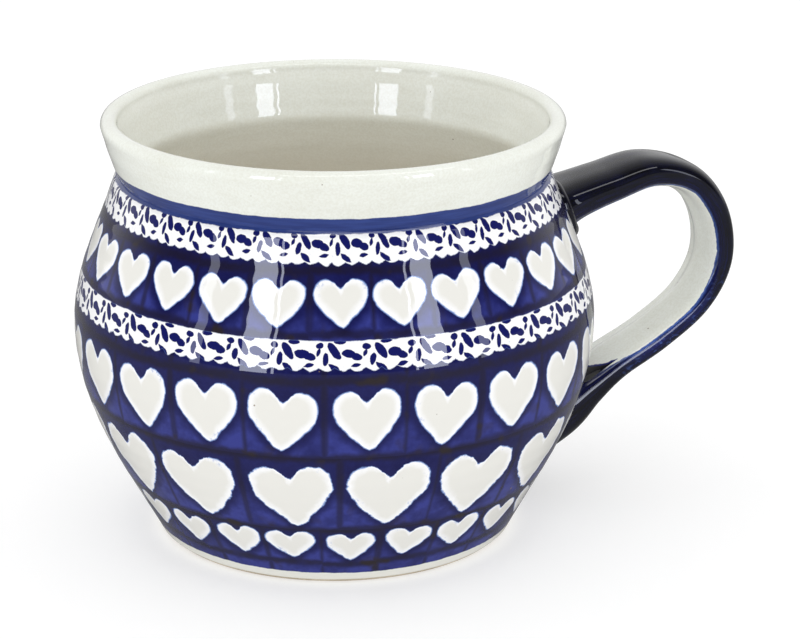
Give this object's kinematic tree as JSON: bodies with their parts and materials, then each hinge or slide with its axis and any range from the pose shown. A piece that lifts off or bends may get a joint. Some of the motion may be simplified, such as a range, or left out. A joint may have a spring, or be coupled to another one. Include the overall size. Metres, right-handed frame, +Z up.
{
  "type": "stoneware mug",
  "caption": "Round-bellied stoneware drinking mug with a flared rim, a small foot ring and one strap handle, glazed cream inside and decorated in blue outside.",
  "frame": {"origin": "centre of the foot ring's face, on the mug's axis, at the height of the table", "axes": "+Z up along the mug's axis, +X from the axis towards the handle"},
  "size_m": [0.1365, 0.101, 0.0825],
  "materials": {
    "stoneware": "bare fired clay",
    "slip": "cobalt glaze over slip",
    "cream_glaze": "clear gloss glaze over cream clay",
    "blue_decor_glaze": "sponge-stamped blue under clear gloss glaze",
    "cobalt_glaze": "brushed cobalt under clear gloss glaze"
  },
  "bodies": {
    "root": {"pot": "stoneware", "handle": "stoneware", "upper_slip_joint": "slip", "lower_slip_joint": "slip", "liner_glaze": "cream_glaze", "belly_glaze": "blue_decor_glaze", "foot_glaze": "cream_glaze", "base_glaze": "cream_glaze", "handle_cobalt_glaze": "cobalt_glaze", "handle_inner_glaze": "cream_glaze"}
  },
  "joints": []
}
